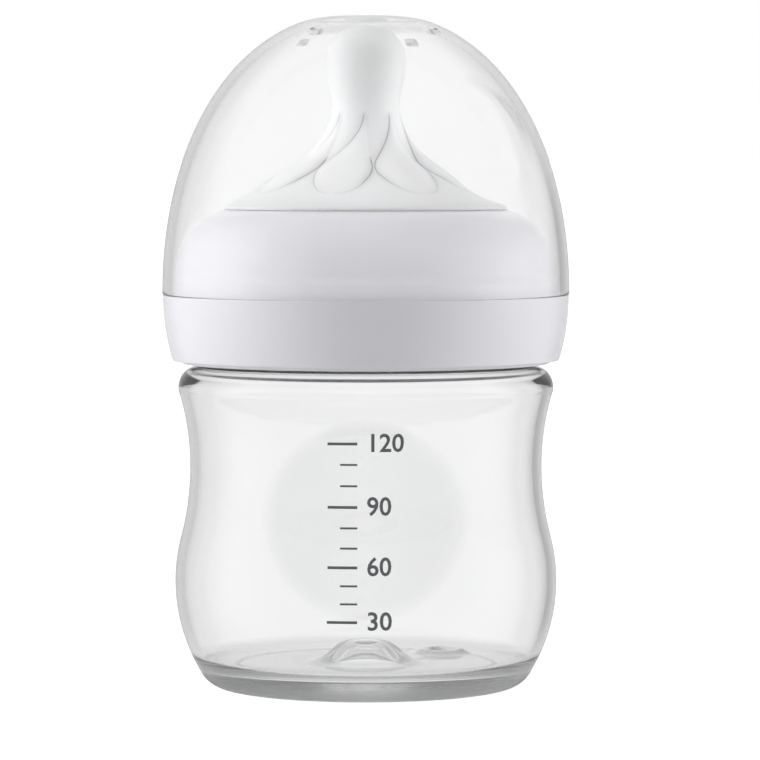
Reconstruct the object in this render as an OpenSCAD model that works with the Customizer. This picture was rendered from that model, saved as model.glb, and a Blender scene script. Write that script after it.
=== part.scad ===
// Baby bottle: waisted clear bottle, soft nipple, screw ring and clear dome cap.
// Millimetres, +Z up, origin at the centre of the foot. Front is -Y.

/* [Bottle] */
// Height of the body, from the foot to the top of the shoulder
body_h = 56.1; // [50:0.1:64]
// How far the belly stands out past the waist
belly_out = 2.65; // [1.6:0.05:4]
// Height of the belly above the foot
belly_z = 18.8; // [17:0.1:22]
// Profile radius of the belly curve
belly_curve = 31; // [27:0.5:36]
// How far the waist is drawn in from the shoulder
waist_in = 2.05; // [1:0.05:2.6]
// Rise from the belly to the waist
waist_rise = 20.4; // [18:0.1:26]
// Step from the neck out to the widest place of the shoulder
shoulder_step = 3.6; // [3:0.1:6]
// Corner radius of the shoulder
shoulder_round = 3; // [2.4:0.1:3.6]
// Corner radius between the foot and the body
foot_round = 5.1; // [4:0.1:6.5]
// Width of the flat ring the bottle stands on
foot_land = 1; // [0.6:0.1:2]
// Height of the hollow under the floor
foot_lift = 1.2; // [0.8:0.1:1.8]
// Thickness of the floor
floor_t = 3; // [2:0.1:4]
// Inside corner radius at the floor
floor_round = 4; // [2:0.1:5]
// Wall thickness of the body
wall = 1.6; // [1:0.1:2]

/* [Punt in the floor] */
// Diameter of the punt where it leaves the floor
punt_d = 17.4; // [14:0.2:22]
// Diameter of the punt at its top
punt_top_d = 8.3; // [7:0.1:10]
// Height of the punt above the floor
punt_h = 4; // [3:0.1:6]
// Wall of the punt
punt_wall = 2; // [1.4:0.1:2.4]

/* [Front recess] */
// Diameter of the round recess on the front of the bottle
recess_d = 33.6; // [24:0.2:40]
// Height of its centre above the belly
recess_rise = 13; // [8:0.1:18]
// Depth of the recess
recess_depth = 0.5; // [0.3:0.05:0.8]

/* [Neck and thread] */
// Outside diameter of the neck
neck_d = 59.2; // [54:0.2:68]
// Wall of the neck
neck_wall = 2; // [1.5:0.1:3]
// Height of the neck above the shoulder
neck_h = 12.9; // [12:0.1:16]
// Height of a thread turn above its root
thread_h = 1.5; // [1:0.1:1.6]
// Number of thread starts
thread_starts = 2; // [1:1:3]
// Distance between neighbouring turns
thread_pitch = 4; // [3.6:0.1:4.6]
// Height of neck left free above the centre of the highest turn
thread_margin = 2; // [1.6:0.1:3]
// Width of a turn at its root
thread_root_w = 2.2; // [1.6:0.1:2.4]
// Width of a turn at its crest
thread_crest_w = 1.2; // [0.8:0.1:1.4]
// Radial play between the two threads
thread_play = 0.5; // [0.35:0.05:0.8]
// Height from the shoulder to the centre of the lowest turn on the neck
thread_rise = 3.6; // [3.2:0.1:4.2]

/* [Screw ring] */
// Thickness of the band outside its bore, at the ledge for the cap
ring_wall = 4.3; // [3.6:0.1:6]
// Thickness of the band at its lower edge
ring_low_wall = 2.6; // [1.8:0.1:3]
// Height of the lower band, from the lower edge to the ledge
band_h = 11.6; // [11:0.1:13]
// Gap between the shoulder of the bottle and the ring
ring_gap = 1.8; // [1:0.1:2.6]
// Rounding of the lower edge
ring_edge = 0.5; // [0.2:0.1:0.8]
// Height of the spigot that the cap fits over
spigot_h = 2.6; // [1.5:0.1:3.6]
// Step from the spigot in to the dome
spigot_step = 0.4; // [0.2:0.1:0.8]
// Height from the ledge to the start of the domed shoulder
dome_rise = 4; // [3.8:0.1:5]
// Profile radius of the domed shoulder
dome_round = 11.2; // [10:0.1:12]
// Wall of the domed shoulder
dome_wall = 1.7; // [1.3:0.1:2.2]
// Diameter of the mouth that the nipple comes through
mouth_d = 49.2; // [47:0.2:51]
// Thickness of the inner rib that presses the nipple down
rib_t = 1.4; // [1:0.1:2]
// Width of the rim that the rib covers
rib_cover = 1.2; // [0.8:0.1:1.6]

/* [Nipple] */
// Thickness of the flange clamped on the rim of the neck
flange_t = 2; // [1.4:0.1:2.6]
// Clearance between the flange and the bore of the ring
flange_clear = 0.6; // [0.4:0.1:1]
// Clearance between the skirt of the nipple and the rib and lip of the ring
skirt_clear = 0.35; // [0.3:0.05:0.6]
// Wall of the skirt
skirt_wall = 1.8; // [1.4:0.1:2.2]
// Straight height of the skirt above the rib seat
skirt_rise = 4; // [3:0.1:5]
// Overhang of the bead over the mouth of the ring
bead_over = 0.45; // [0.3:0.05:0.8]
// Height of the edge of the bead
bead_h = 0.7; // [0.4:0.1:1.2]
// Wall of the cone, neck and bulb
teat_wall = 1.5; // [1.2:0.1:2]
// Diameter of the teat at its neck
teat_neck_d = 12; // [10:0.1:13.4]
// Height of the neck above the mouth of the ring
teat_neck_rise = 18.5; // [16:0.1:21]
// Profile radius of the flare under the neck
flare_curve = 12.5; // [10:0.5:15]
// How far the bulb stands out past the neck
bulb_over = 1.1; // [0.4:0.1:2]
// Rise from the neck to the widest place of the bulb
bulb_rise = 7.9; // [6.8:0.1:9.5]
// Profile radius of the lower half of the bulb
bulb_curve = 20; // [18:0.5:26]
// Profile radius of the tip
tip_round = 6.2; // [5:0.1:6.8]
// Diameter of the feed hole
feed_d = 0.7; // [0.4:0.05:1.2]
// Number of petals pressed into the inside of the cone
petal_n = 8; // [0:1:10]
// Diameter of the round end of a petal
petal_d = 8.4; // [5:0.1:9]
// Depth of a petal
petal_depth = 0.5; // [0.2:0.05:0.7]
// Distance of the petals out from the axis
petal_out = 15.4; // [14:0.1:17.5]
// Angle of the first petal from the front
petal_turn = -14; // [-45:1:45]
// Diameter of each air vent through the skirt
vent_d = 1.2; // [0.8:0.1:1.8]
// Number of air vents
vent_n = 2; // [1:1:4]

/* [Dome cap] */
// Step of the cap out over the ring
cap_over = 0.1; // [0:0.05:0.4]
// Wall of the dome at its crown
cap_wall = 1.2; // [0.8:0.1:1.6]
// Thickness of the dome at its rim
lip_t = 1.6; // [1.3:0.1:2]
// Clearance between the lip and the spigot
cap_clear = 0.3; // [0.2:0.05:0.6]
// Clearance between the tip of the nipple and the cap
tip_clear = 0.5; // [0.3:0.1:2]
// Thickness of the top of the cap
cap_top_t = 1.1; // [0.8:0.1:1.6]
// Diameter of the flat crown, where the dome curve ends
crown_d = 23.8; // [18:0.2:30]
// Height of the crown above the end of the dome curve
crown_h = 1.3; // [0.8:0.1:2]
// Exponent of the crown curve: higher is flatter
crown_p = 3.3; // [2.4:0.1:4.5]
// Exponent of the dome curve along its height
dome_p = 2.09; // [1.8:0.01:2.6]
// Exponent of the dome curve across its radius
dome_q = 2.24; // [1.8:0.01:2.6]
// Diameter of the thumb recess
thumb_d = 24.8; // [16:0.2:28]
// Depth of the thumb recess
thumb_depth = 1.9; // [1.2:0.1:2.6]
// Height of its centre above the ledge, as a share of the dome
thumb_share = 0.56; // [0.45:0.01:0.65]
// Angle of the thumb recess from the front, towards the right
thumb_turn = 43; // [0:1:90]
// Number of vent slots round the top
slot_n = 4; // [2:1:6]
// Length of a vent slot
slot_l = 2.8; // [2:0.1:4]
// Width of a vent slot
slot_w = 1.2; // [0.8:0.1:1.6]
// Angle of the first vent slot from the front
slot_turn = 54; // [0:1:90]
// Distance from the edge of the crown out to the vent slots
slot_gap = 2.6; // [1.6:0.1:4]

/* [Hidden] */
$fn = 96;

// points along an arc, from angle a to angle b
function arc(cx, cz, r, a, b, n = 8) =
    [for (i = [0:n]) let (t = a + (b - a) * i / n) [cx + r * cos(t), cz + r * sin(t)]];
// radius of a hollow curve that leaves radius w at height 0 and touches a round of radius r,
// whose centre stands at radius c and height h
function hollow(w, c, r, h) = ((w - c) ^ 2 + h ^ 2 - r ^ 2) / (2 * (r - (w - c)));

// body of the bottle
sho_r = neck_d / 2 + shoulder_step;
wai_r = sho_r - waist_in;
bel_r = wai_r + belly_out;
bel_c = bel_r - belly_curve;
sho_c = sho_r - shoulder_round;
waist_z = belly_z + waist_rise;
shoulder_top = body_h;
shoulder_z = shoulder_top - shoulder_round;
shoulder_rise = shoulder_z - waist_z;
rim_z = shoulder_top + neck_h;
foot_c = bel_c + sqrt((belly_curve - foot_round) ^ 2 - (belly_z - foot_round) ^ 2);
foot_a = -atan2(belly_z - foot_round, foot_c - bel_c);
low_curve = hollow(wai_r, bel_c, belly_curve, waist_rise);
low_a = atan2(waist_rise, wai_r + low_curve - bel_c);
top_curve = hollow(wai_r, sho_c, shoulder_round, shoulder_rise);
top_a = atan2(shoulder_rise, wai_r + top_curve - sho_c);
floor_z = foot_lift + floor_t;
floor_h = belly_z - floor_z - floor_round;
floor_c = bel_c + sqrt((belly_curve - wall - floor_round) ^ 2 - floor_h ^ 2);
floor_a = -atan2(floor_h, floor_c - bel_c);
recess_z = belly_z + recess_rise;
// neck
neck_r = neck_d / 2;
neck_in = neck_r - neck_wall;
neck_foot = 0.6;
rim_edge = 0.4;
lead = thread_pitch * thread_starts;
thread_low = shoulder_top + thread_rise;
thread_high = rim_z - thread_margin;
bore_r = neck_r + thread_h + thread_play;
// ring
ring_r = bore_r + ring_wall;
ring_low_r = bore_r + ring_low_wall;
ring_z = shoulder_top + ring_gap;
ledge_z = ring_z + band_h;
ring_thread_low = ring_z + ring_edge + thread_root_w / 2 + 0.2;
ring_thread_turn = (ring_thread_low - thread_low + thread_pitch / 2) * 360 / lead;
band_step = ring_r - ring_low_r;
band_curve = (band_step ^ 2 + band_h ^ 2) / (2 * band_step);
cap_r = ring_r + cap_over;
spigot_r = cap_r - lip_t - cap_clear;
dome_c = spigot_r - spigot_step - dome_round;
dome_z = ledge_z + dome_rise;
mouth_r = mouth_d / 2;
mouth_top = dome_z + sqrt(dome_round ^ 2 - (mouth_r - dome_c) ^ 2);
mouth_low = dome_z + sqrt((dome_round - dome_wall) ^ 2 - (mouth_r - dome_c) ^ 2);
seat_z = rim_z + flange_t;
rib_r = neck_r - rib_cover;
rib_h = dome_c + dome_round - dome_wall - rib_r;
// nipple
flange_r = bore_r - flange_clear;
skirt_r = rib_r - skirt_clear;
groove_r = mouth_r - skirt_clear;
groove_z = mouth_low - skirt_clear;
skirt_z = seat_z + skirt_rise;
skirt_curve = ((skirt_r - groove_r) ^ 2 + (groove_z - skirt_z) ^ 2) / (2 * (skirt_r - groove_r));
skirt_c = skirt_r - skirt_curve;
skirt_a = asin((groove_z - skirt_z) / skirt_curve);
bead_r = mouth_r + bead_over;
bead_z = mouth_top + skirt_clear;
teat_r = teat_neck_d / 2;
teat_z = mouth_top + teat_neck_rise;
flare_c = teat_r + flare_curve;
cone_d = norm([bead_r - flare_c, bead_z + bead_h - teat_z]);
cone_a = 360 + atan2(bead_z + bead_h - teat_z, bead_r - flare_c) - acos(flare_curve / cone_d);
bulb_r = teat_r + bulb_over;
bulb_z = teat_z + bulb_rise;
bulb_c = bulb_r - bulb_curve;
nape_curve = hollow(teat_r, bulb_c, bulb_curve, bulb_rise);
nape_a = atan2(bulb_rise, teat_r + nape_curve - bulb_c);
tip_z = bulb_z + tip_round;
throat_r = groove_r - skirt_wall - skirt_clear;
// inside of the cone: height at radius r
function cone_in(r) = teat_z + (flare_curve + teat_wall) * sin(cone_a)
    - (r - flare_c - (flare_curve + teat_wall) * cos(cone_a)) / tan(cone_a - 180);
// cap
cap_top = tip_z + tip_clear + cap_top_t;
crown_r = crown_d / 2;
crown_z = cap_top - crown_h;
// dome curve: outside radius a at height z0, reaching radius s at height z1
function dome(a, z0, s, z1, n = 26) =
    let (t1 = acos((s / a) ^ (dome_q / 2)), k = (z1 - z0) / sin(t1) ^ (2 / dome_p))
    [for (i = [0:n]) let (t = t1 * i / n) [a * cos(t) ^ (2 / dome_q), z0 + k * sin(t) ^ (2 / dome_p)]];
function dome_r(a, z0, s, z1, z) =
    let (t1 = acos((s / a) ^ (dome_q / 2)), k = (z1 - z0) / sin(t1) ^ (2 / dome_p))
    a * (1 - ((z - z0) / k) ^ dome_p) ^ (1 / dome_q);
// crown curve: from radius s at height z0 up to the axis at height z1
function crown(s, z0, z1, n = 9) =
    [for (i = [1:n]) let (u = 1 - i / n) [s * u, z1 - (z1 - z0) * u ^ crown_p]];
thumb_z = ledge_z + (crown_z - ledge_z) * thumb_share;
thumb_r = dome_r(cap_r, ledge_z, crown_r, crown_z, thumb_z);
thumb_lean = atan(dome_r(cap_r, ledge_z, crown_r, crown_z, thumb_z - 1)
    - thumb_r) / 2 + atan(thumb_r - dome_r(cap_r, ledge_z, crown_r, crown_z, thumb_z + 1)) / 2;
slot_r = crown_r + slot_gap;

// solid of the bottle without its hollow, set in by t on the body
module body_form(t = 0) {
    rotate_extrude()
        polygon(concat(
            [[0, foot_lift + floor_t + punt_h - punt_wall],
             [punt_top_d / 2 - punt_wall, foot_lift + floor_t + punt_h - punt_wall],
             [punt_d / 2 - punt_wall, foot_lift]],
            arc(foot_c - foot_land, foot_lift, foot_lift, 180, 270, 4),
            arc(foot_c, foot_round, foot_round - t, -90, foot_a, 8),
            arc(bel_c, belly_z, belly_curve - t, foot_a, low_a, 12),
            arc(wai_r + low_curve, waist_z, low_curve + t, 180 + low_a, 180, 7),
            arc(wai_r + top_curve, waist_z, top_curve + t, 180, 180 - top_a, 6),
            arc(sho_c, shoulder_z, shoulder_round - t, -top_a, 90, 8),
            arc(neck_r + neck_foot, shoulder_top + neck_foot, neck_foot, 270, 180, 3),
            [[neck_r, rim_z - rim_edge], [neck_r - rim_edge, rim_z], [0, rim_z]]));
}

module body_hollow() {
    rotate_extrude()
        polygon(concat(
            [[0, floor_z + punt_h], [punt_top_d / 2, floor_z + punt_h], [punt_d / 2, floor_z]],
            arc(floor_c, floor_z + floor_round, floor_round, -90, floor_a, 7),
            arc(bel_c, belly_z, belly_curve - wall, floor_a, low_a, 12),
            arc(wai_r + low_curve, waist_z, low_curve + wall, 180 + low_a, 180, 7),
            arc(wai_r + top_curve, waist_z, top_curve + wall, 180, 180 - top_a, 6),
            arc(sho_c, shoulder_z, shoulder_round - wall, -top_a, 90, 5),
            [[neck_in + 1, shoulder_top - wall], [neck_in, shoulder_top - wall + 1],
             [neck_in, rim_z + 1], [0, rim_z + 1]]));
}

// plug of the front recess, outside the body set in by t
module recess(t) {
    difference() {
        translate([0, 0, recess_z]) rotate([90, 0, 0]) cylinder(r = recess_d / 2 + t / 2, h = bel_r + 5);
        body_form(t + recess_depth);
    }
}

// one start of a trapezoid thread: root radius r0, crest radius r1
module turn_of_thread(r0, r1, z0, z1, from) {
    sweep = (z1 - z0) / lead * 360;
    n = ceil(sweep / 7.5);
    run = 3;
    out = r1 > r0 ? 1 : -1;
    pts = [for (i = [0:n]) let (
            a = from + sweep * i / n,
            z = z0 + (z1 - z0) * i / n,
            f = min(1, (i + 0.4) / run, (n - i + 0.4) / run),
            r = r0 + (r1 - r0) * f)
        for (p = [[r0, -thread_root_w / 2], [r, -thread_crest_w / 2], [r, thread_crest_w / 2],
                  [r0, thread_root_w / 2]])
            [p[0] * cos(a), p[0] * sin(a), z + out * p[1]]];
    polyhedron(pts, concat(
        [[3, 2, 1], [3, 1, 0], [4 * n, 4 * n + 1, 4 * n + 2], [4 * n, 4 * n + 2, 4 * n + 3]],
        [for (i = [0:n - 1]) for (k = [0:3]) let (j = (k + 1) % 4)
            [4 * i + k, 4 * i + j, 4 * i + 4 + j]],
        [for (i = [0:n - 1]) for (k = [0:3]) let (j = (k + 1) % 4)
            [4 * i + k, 4 * i + 4 + j, 4 * i + 4 + k]]));
}

module bottle() {
    color([0.86, 0.88, 0.88, 0.45]) {
        difference() {
            body_form();
            recess(0);
            difference() {
                body_hollow();
                recess(wall);
            }
        }
        for (s = [0:thread_starts - 1])
            turn_of_thread(neck_r - 0.4, neck_r + thread_h, thread_low, thread_high, 360 / thread_starts * s);
    }
}

module screw_ring() {
    color([0.95, 0.95, 0.97]) {
        difference() {
            rotate_extrude()
                polygon(concat(
                    [[bore_r, ring_z + ring_edge], [bore_r + ring_edge, ring_z],
                     [ring_low_r - ring_edge, ring_z]],
                    arc(ring_r - band_curve, ledge_z, band_curve, -asin((band_h - ring_edge) / band_curve),
                        -asin(0.3 / band_curve), 6),
                    [[ring_r - 0.3, ledge_z], [spigot_r, ledge_z], [spigot_r, ledge_z + spigot_h]],
                    arc(dome_c, dome_z, dome_round, 0, acos((mouth_r - dome_c) / dome_round), 10),
                    arc(dome_c, dome_z, dome_round - dome_wall,
                        acos((mouth_r - dome_c) / (dome_round - dome_wall)),
                        asin((seat_z + rib_t + rib_h - dome_z) / (dome_round - dome_wall) * 0.8), 8),
                    [[rib_r, seat_z + rib_t], [rib_r, seat_z], [bore_r, seat_z]]));
        }
        for (s = [0:thread_starts - 1])
            turn_of_thread(bore_r + 0.4, bore_r - thread_h, ring_thread_low, thread_high,
                ring_thread_turn + 360 / thread_starts * s);
    }
}

module nipple() {
    color([0.9, 0.91, 0.92]) {
        difference() {
            rotate_extrude()
                polygon(concat(
                    [[skirt_r - skirt_wall, rim_z], [flange_r, rim_z], [flange_r, seat_z], [skirt_r, seat_z]],
                    arc(skirt_c, skirt_z, skirt_curve, 0, skirt_a, 8),
                    [[groove_r, bead_z], [bead_r, bead_z], [bead_r, bead_z + bead_h]],
                    arc(flare_c, teat_z, flare_curve, cone_a, 180, 9),
                    arc(teat_r + nape_curve, teat_z, nape_curve, 180, 180 - nape_a, 4),
                    arc(bulb_c, bulb_z, bulb_curve, -nape_a, 0, 4),
                    arc(bulb_r - tip_round, bulb_z, tip_round, 0, 90, 8),
                    [[0, tip_z], [0, tip_z - teat_wall]],
                    arc(bulb_r - tip_round, bulb_z, tip_round - teat_wall, 90, 0, 7),
                    arc(bulb_c, bulb_z, bulb_curve - teat_wall, 0, -nape_a, 4),
                    arc(teat_r + nape_curve, teat_z, nape_curve + teat_wall, 180 - nape_a, 180, 4),
                    arc(flare_c, teat_z, flare_curve + teat_wall, 180, cone_a, 9),
                    [[throat_r, cone_in(throat_r)]],
                    arc(skirt_c, skirt_z, skirt_curve - skirt_wall,
                        acos((throat_r - skirt_c) / (skirt_curve - skirt_wall)), 0, 6)));
            translate([0, 0, tip_z - 2 * teat_wall]) cylinder(d = feed_d, h = 3 * teat_wall);
            petals();
            for (i = [0:vent_n - 1]) rotate([0, 0, 360 / vent_n * i])
                translate([0, skirt_r - skirt_wall - 1, seat_z + rib_t + vent_d])
                    rotate([-90, 0, 0]) cylinder(d = vent_d, h = skirt_wall + 2);
        }
    }
}

// round ends of the petals: shallow scoops in the inside of the cone
module petals() {
    scoop = (petal_d ^ 2 / 4 + petal_depth ^ 2) / (2 * petal_depth);
    lean = cone_a - 180;
    for (i = [0:1:petal_n - 1]) rotate([0, 0, petal_turn + 360 / petal_n * i])
        translate([0, -petal_out, cone_in(petal_out)])
            translate([0, (scoop - petal_depth) * cos(lean), -(scoop - petal_depth) * sin(lean)])
                sphere(r = scoop);
}

// cylinder of the thumb recess, starting at depth t below the dome
module thumb(t, r) {
    rotate([0, 0, thumb_turn]) translate([0, -thumb_r, thumb_z]) rotate([90 - thumb_lean, 0, 0])
        translate([0, 0, -t]) cylinder(r = r, h = t + 8);
}

module dome_cap() {
    color([0.9, 0.92, 0.94, 0.3]) {
        difference() {
            rotate_extrude()
                polygon(concat(
                    [[0, ledge_z]], dome(cap_r, ledge_z, crown_r, crown_z), crown(crown_r, crown_z, cap_top)));
            thumb(thumb_depth, thumb_d / 2);
            difference() {
                rotate_extrude()
                    polygon(concat(
                        [[0, ledge_z - 1], [cap_r - lip_t, ledge_z - 1]],
                        dome(cap_r - lip_t, ledge_z, crown_r - cap_wall, crown_z - cap_wall),
                        crown(crown_r - cap_wall, crown_z - cap_wall, cap_top - cap_top_t)));
                thumb(thumb_depth + cap_wall, thumb_d / 2 + cap_wall);
            }
            for (i = [0:slot_n - 1]) rotate([0, 0, slot_turn + 360 / slot_n * i])
                translate([0, -slot_r, crown_z - 4]) {
                    translate([-(slot_l - slot_w) / 2, -slot_w / 2, 0]) cube([slot_l - slot_w, slot_w, 8]);
                    for (s = [-1, 1]) translate([s * (slot_l - slot_w) / 2, 0, 0]) cylinder(d = slot_w, h = 8);
                }
        }
    }
}

bottle();
nipple();
screw_ring();
dome_cap();
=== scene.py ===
# %% [markdown]
# # A baby bottle from four mouldings
# The bottle is a clear waisted body, a soft nipple, a white screw ring and a clear dome cap.
# The CAD frame says where each one sits and how it moves. Here each gets the surface and the
# finish that the real moulding has. Lengths are written in millimetres, as a mould maker
# writes them, and become metres only when a mesh is made.

# %% Load the frame
from math import acos, asin, atan2, ceil, cos, degrees, hypot, pi, radians, sin, sqrt, tan

import bmesh
import bpy
import numpy as np
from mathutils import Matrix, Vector


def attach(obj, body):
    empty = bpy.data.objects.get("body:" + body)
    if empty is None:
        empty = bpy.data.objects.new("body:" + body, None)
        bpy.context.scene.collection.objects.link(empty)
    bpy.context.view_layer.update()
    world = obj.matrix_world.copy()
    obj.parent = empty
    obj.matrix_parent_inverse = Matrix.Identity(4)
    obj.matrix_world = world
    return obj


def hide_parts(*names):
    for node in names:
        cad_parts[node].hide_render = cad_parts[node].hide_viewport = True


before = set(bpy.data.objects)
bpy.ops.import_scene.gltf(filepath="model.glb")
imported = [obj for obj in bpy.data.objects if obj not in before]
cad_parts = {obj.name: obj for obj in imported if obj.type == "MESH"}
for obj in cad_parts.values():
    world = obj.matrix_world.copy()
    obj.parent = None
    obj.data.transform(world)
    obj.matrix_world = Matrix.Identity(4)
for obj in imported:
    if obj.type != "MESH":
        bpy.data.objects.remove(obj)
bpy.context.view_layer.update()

MM = 0.001


def placed(name, data):
    """A new object in the scene that shows the data."""
    thing = bpy.data.objects.new(name, data)
    bpy.context.scene.collection.objects.link(thing)
    return thing


def dial(node, **values):
    """Sets inputs of a node. An underscore in a key stands for a space in the input's name."""
    for key, value in values.items():
        node.inputs[key.replace("_", " ")].default_value = value


# %% [markdown]
# ## The camera
# A product like this is taken with a long lens from less than a metre, just above the middle
# of the cap, and tilted down a little: the foot then shows as a shallow ellipse while the top
# of the cap is almost edge on. The camera keeps level sideways, so the bottle stands straight.

# %% Place the camera
camera_data = bpy.data.cameras.new("camera")
camera_data.sensor_width = 36
camera_data.lens = 214.2
camera_data.clip_start = 0.01
camera = placed("camera", camera_data)
distance, camera_height, tilt_down = 800, 95, 2.91
camera.location = (2.5 * MM, -distance * MM, camera_height * MM)
camera.rotation_euler = (radians(90 - tilt_down), 0, 0)
bpy.context.scene.camera = camera
print("camera", distance, "mm away, lens", round(camera_data.lens, 1))

# %% [markdown]
# ## Outlines
# Every moulding here is a body of revolution, so each one starts as an outline of radius and
# height. It could be drawn with a pen tool, but arcs and straight runs between known sizes keep
# the outline true to the CAD part, and a corner gets its small radius where the mould has one.

# %% Helpers for outlines
def arc(r, z, radius, start, end, n=12):
    """Points along an arc about (r, z), from one angle to another in degrees."""
    return [(r + radius * cos(radians(a)), z + radius * sin(radians(a)))
            for a in np.linspace(start, end, n + 1)]


def eased(points):
    """The outline with each corner that carries a third number rounded by that much."""
    out = []
    for i, p in enumerate(points):
        if len(p) == 2 or i in (0, len(points) - 1):
            out.append(np.array(p[:2], float))
            continue
        here = np.array(p[:2], float)
        before, after = np.array(points[i - 1][:2], float), np.array(points[i + 1][:2], float)
        one = here + (before - here) * min(0.45, p[2] / np.linalg.norm(before - here))
        two = here + (after - here) * min(0.45, p[2] / np.linalg.norm(after - here))
        for t in np.linspace(0, 1, 6):
            out.append((1 - t) ** 2 * one + 2 * t * (1 - t) * here + t * t * two)
    return out


def filled(points, step):
    """The outline with no gap longer than step, a number or a function of radius and height."""
    out = [points[0]]
    for q in points[1:]:
        p = out[-1]
        gap = float(np.linalg.norm(np.asarray(q) - p))
        if gap < 1e-6:
            continue
        n = max(1, ceil(gap / (step(*p) if callable(step) else step)))
        out += [p + (np.asarray(q) - p) * k / n for k in range(1, n + 1)]
    return out


def hollow(w, c, r, h):
    """Radius of a hollow curve at radius w that runs on into a round of radius r about (c, h)."""
    return ((w - c) ** 2 + h ** 2 - r ** 2) / (2 * (r - (w - c)))

# %% [markdown]
# ## A lathe in Geometry Nodes
# A spun outline is a rule, and a rule is what Geometry Nodes are for. The tree makes a grid with
# one row for each point of the outline, reads the outline's radius and height for each row, and
# wraps the grid round the axis. Screw or Spin would do the same, but this way the marks on the
# outline, such as which rows carry the thread, travel to the finished surface.

# %% Helpers for node trees
def new_tree(label, inputs):
    """An empty geometry tree with named inputs, and its input and output nodes."""
    tree = bpy.data.node_groups.new(label, "GeometryNodeTree")
    tree.interface.new_socket("Geometry", in_out="INPUT", socket_type="NodeSocketGeometry")
    tree.interface.new_socket("Geometry", in_out="OUTPUT", socket_type="NodeSocketGeometry")
    for name, kind, value in inputs:
        socket = tree.interface.new_socket(name, in_out="INPUT", socket_type="NodeSocket" + kind)
        if value is not None:
            socket.default_value = value
    return tree, tree.nodes.new("NodeGroupInput"), tree.nodes.new("NodeGroupOutput")


class Sums:
    """Writes arithmetic as Math nodes, so that a field reads like a formula."""

    def __init__(self, tree):
        self.tree = tree

    def put(self, value, socket):
        if isinstance(value, (int, float)):
            socket.default_value = value
        else:
            self.tree.links.new(value, socket)

    def do(self, operation, a, b=None, c=None):
        node = self.node("ShaderNodeMath", operation=operation)
        for value, socket in zip((a, b, c), node.inputs):
            if value is not None:
                self.put(value, socket)
        return node.outputs[0]

    def add(self, a, b): return self.do("ADD", a, b)
    def sub(self, a, b): return self.do("SUBTRACT", a, b)
    def mul(self, a, b): return self.do("MULTIPLY", a, b)
    def div(self, a, b): return self.do("DIVIDE", a, b)

    def unit(self, a):
        node = self.node("ShaderNodeClamp")
        self.put(a, node.inputs[0])
        return node.outputs[0]

    def climb(self, a, b, k):
        """0 up to where a meets b, and from there k for each unit between them, up to 1."""
        return self.unit(self.mul(self.sub(a, b), k))

    def node(self, kind, **settings):
        node = self.tree.nodes.new(kind)
        for key, value in settings.items():
            setattr(node, key, value)
        return node

    def blend(self, share, one, other):
        """A mix of two colours."""
        node = self.node("ShaderNodeMix", data_type="RGBA")
        self.put(share, node.inputs[0])
        node.inputs[6].default_value, node.inputs[7].default_value = (*one, 1), (*other, 1)
        return node.outputs[2]

    def either(self, share, one, other, end):
        """Mixes two shaders into a socket."""
        mix = self.node("ShaderNodeMixShader")
        for value, socket in zip((share, one, other), mix.inputs):
            self.put(value, socket)
        self.put(mix.outputs[0], end)

    def attribute(self, name):
        """The value of a named attribute inside a geometry tree."""
        node = self.node("GeometryNodeInputNamedAttribute", data_type="FLOAT")
        node.inputs["Name"].default_value = name
        return node.outputs[0]

    def moved(self, shape, way, amount):
        """The shape with each point moved along a direction by an amount."""
        push = self.node("ShaderNodeVectorMath", operation="SCALE")
        self.put(way, push.inputs[0])
        self.put(amount, push.inputs["Scale"])
        move = self.node("GeometryNodeSetPosition")
        self.put(shape, move.inputs["Geometry"])
        self.put(push.outputs[0], move.inputs["Offset"])
        return move.outputs[0]

    def close(self, shape, finish, end):
        """Ends a geometry tree: instances are made real and the finish is set on all of it."""
        real, coat = self.node("GeometryNodeRealizeInstances"), self.node("GeometryNodeSetMaterial")
        self.put(shape, real.inputs[0])
        self.put(real.outputs[0], coat.inputs["Geometry"])
        self.put(finish, coat.inputs["Material"])
        self.put(coat.outputs[0], end.inputs[0])


def settled(thing):
    """A new mesh of the object as its modifiers leave it."""
    return bpy.data.meshes.new_from_object(thing.evaluated_get(bpy.context.evaluated_depsgraph_get()))


def one_finish(mesh):
    """Puts the one finish of a mesh in its first slot and on every face."""
    used = [m for m in mesh.materials if m][0]
    mesh.materials.clear()
    mesh.materials.append(used)
    mesh.polygons.foreach_set("material_index", np.zeros(len(mesh.polygons), np.int32))


def grown(name, mesh, steps):
    """Runs trees with their values on a mesh and returns the plain mesh that comes out."""
    raw = placed(name + "_raw", mesh)
    for tree, values in steps:
        modifier = raw.modifiers.new(tree.name, "NODES")
        modifier.node_group = tree
        sockets = {s.name: s.identifier for s in tree.interface.items_tree if s.in_out == "INPUT"}
        for key, value in values.items():
            modifier[sockets[key]] = value
    done = settled(raw)
    raw.modifiers.clear()
    bpy.data.objects.remove(raw)
    done.name = name
    one_finish(done)
    return done

# %% Build the lathe
lathe, start, end = new_tree("Lathe", [("Segments", "Int", 192), ("Finish", "Material", None)])
s = Sums(lathe)
link = lathe.links.new
size = s.node("GeometryNodeAttributeDomainSize", component="MESH")
link(start.outputs["Geometry"], size.inputs[0])
columns = s.add(start.outputs["Segments"], 1)
grid = s.node("GeometryNodeMeshGrid")
link(size.outputs["Point Count"], grid.inputs["Vertices X"])
link(columns, grid.inputs["Vertices Y"])
index = s.node("GeometryNodeInputIndex").outputs[0]
row = s.do("FLOOR", s.div(s.add(index, 0.5), columns))
column = s.sub(index, s.mul(row, columns))


def from_outline(kind, value):
    node = s.node("GeometryNodeSampleIndex", data_type=kind, domain="POINT")
    link(start.outputs["Geometry"], node.inputs["Geometry"])
    link(value, node.inputs["Value"])
    link(row, node.inputs["Index"])
    return node.outputs[0]


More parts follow.
